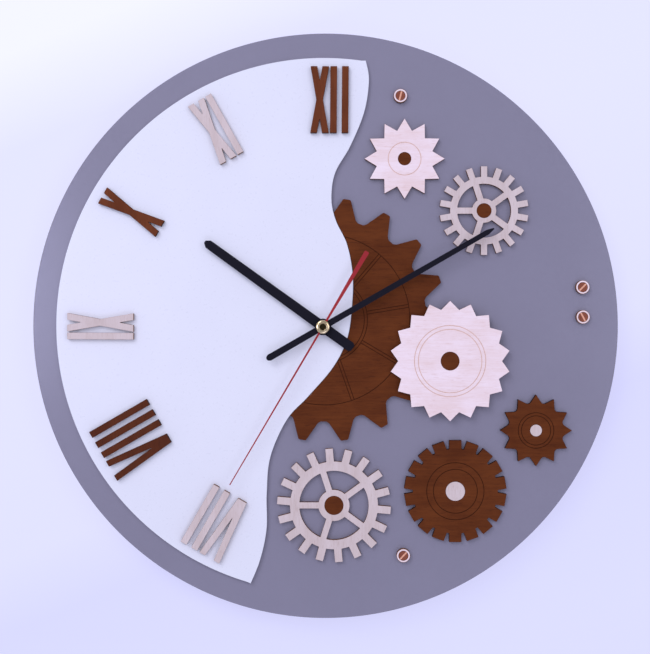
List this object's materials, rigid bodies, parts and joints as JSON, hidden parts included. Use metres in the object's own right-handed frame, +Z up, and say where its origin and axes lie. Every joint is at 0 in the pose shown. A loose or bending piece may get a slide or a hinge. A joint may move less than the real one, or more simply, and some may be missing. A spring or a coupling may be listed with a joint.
{
  "type": "wall clock",
  "caption": "Round wall clock with a painted board, a wavy-edged dial, laser-cut wooden gear trim, Roman numerals, hour, minute and second hands, and a battery quartz movement behind it.",
  "frame": {"origin": "the point on the wall behind the arbor of the hands, on the rear face of the movement case", "axes": "-Y out of the wall towards the viewer, +X to the viewer's right, +Z up towards twelve"},
  "size_m": [0.3, 0.0353, 0.3],
  "materials": {
    "grey_paint": "satin grey-mauve paint on fibreboard",
    "white_paint": "satin white paint on plywood",
    "brown_ply": "dark brown stained plywood with laser-burnt edges",
    "cream_ply": "pale plywood with laser-burnt edges",
    "black_paint": "satin black",
    "red_paint": "satin red",
    "brass": "polished",
    "black_plastic": "fine texture",
    "white_plastic": "moulded, unpainted",
    "steel": "plated",
    "copper": "enamelled copper wire",
    "green_board": "glass-fibre board with green solder resist",
    "battery_jacket": "printed sleeve, no marks",
    "rubber": "matte"
  },
  "bodies": {
    "clock": {"base_disc": "grey_paint", "case_back": "black_plastic", "case_front": "black_plastic", "circuit_board": "green_board", "coil": "copper", "dial_plate": "white_paint", "gasket": "rubber", "hex_nut": "brass", "large_gear": "brown_ply", "large_star_gear": "cream_ply", "large_star_gear_hub": "brown_ply", "lower_spoked_gear": "cream_ply", "lower_spoked_gear_hub": "brown_ply", "middle_plate": "black_plastic", "negative_contact": "steel", "numeral_10_x": "brown_ply", "numeral_11_i1": "cream_ply", "numeral_11_x": "cream_ply", "numeral_12_i1": "brown_ply", "numeral_12_i2": "brown_ply", "numeral_12_x": "brown_ply", "numeral_7_i1": "cream_ply", "numeral_7_i2": "cream_ply", "numeral_7_v": "cream_ply", "numeral_8_i1": "brown_ply", "numeral_8_i2": "brown_ply", "numeral_8_i3": "brown_ply", "numeral_8_v": "brown_ply", "numeral_9_i1": "cream_ply", "numeral_9_x": "cream_ply", "positive_contact": "steel", "screw_head_1": "brown_ply", "screw_head_2": "brown_ply", "screw_head_3": "brown_ply", "screw_head_4": "brown_ply", "screw_ring_1": "cream_ply", "screw_ring_2": "cream_ply", "screw_ring_3": "cream_ply", "screw_ring_4": "cream_ply", "small_star_gear": "brown_ply", "small_star_gear_hub": "cream_ply", "square_tooth_gear": "brown_ply", "square_tooth_gear_hub": "cream_ply", "stator": "steel", "upper_spoked_gear": "cream_ply", "upper_spoked_gear_hub": "brown_ply", "upper_star_gear": "cream_ply", "upper_star_gear_hub": "brown_ply"},
    "minute": {"minute_hand": "black_paint", "centre_wheel": "white_plastic"},
    "hour": {"hour_hand": "black_paint", "hour_wheel": "white_plastic"},
    "second": {"second_hand": "red_paint", "second_hand_boss": "brass", "second_wheel": "white_plastic"},
    "third": {"third_wheel": "white_plastic"},
    "intermediate": {"intermediate_wheel": "white_plastic"},
    "rotor": {"rotor": "steel"},
    "setting": {"setting_wheel": "white_plastic"},
    "battery": {"battery": "battery_jacket"}
  },
  "joints": [
    {"name": "second_hand_turn", "type": "hinge", "parent": "clock", "child": "second", "pos_m": [0, 0, 0], "axis": [0, 1, 0], "continuous": true},
    {"name": "minute_hand_turn", "type": "hinge", "parent": "clock", "child": "minute", "pos_m": [0, 0, 0], "axis": [0, 1, 0], "continuous": true},
    {"name": "hour_hand_turn", "type": "hinge", "parent": "clock", "child": "hour", "pos_m": [0, 0, 0], "axis": [0, 1, 0], "continuous": true},
    {"name": "third_wheel_turn", "type": "hinge", "parent": "clock", "child": "third", "pos_m": [0.00987, 0, 0.0057], "axis": [0, 1, 0], "continuous": true},
    {"name": "intermediate_wheel_turn", "type": "hinge", "parent": "clock", "child": "intermediate", "pos_m": [-0.00098, 0, 0.01116], "axis": [0, 1, 0], "continuous": true},
    {"name": "rotor_turn", "type": "hinge", "parent": "clock", "child": "rotor", "pos_m": [-0.00825, 0, 0.01536], "axis": [0, 1, 0], "continuous": true},
    {"name": "setting_knob_turn", "type": "hinge", "parent": "clock", "child": "setting", "pos_m": [-0.01159, 0, 0.00311], "axis": [0, 1, 0], "continuous": true},
    {"name": "battery_removal", "type": "slide", "parent": "clock", "child": "battery", "axis": [0, 1, 0], "range_m": [0, 0.018]}
  ],
  "couplings": [
    {"joint": "minute_hand_turn", "follows": "second_hand_turn", "ratio": 0.016667},
    {"joint": "hour_hand_turn", "follows": "second_hand_turn", "ratio": 0.0013889},
    {"joint": "third_wheel_turn", "follows": "second_hand_turn", "ratio": -0.13333},
    {"joint": "intermediate_wheel_turn", "follows": "second_hand_turn", "ratio": -6},
    {"joint": "rotor_turn", "follows": "second_hand_turn", "ratio": 30},
    {"joint": "setting_knob_turn", "follows": "second_hand_turn", "ratio": -0.0055556}
  ]
}
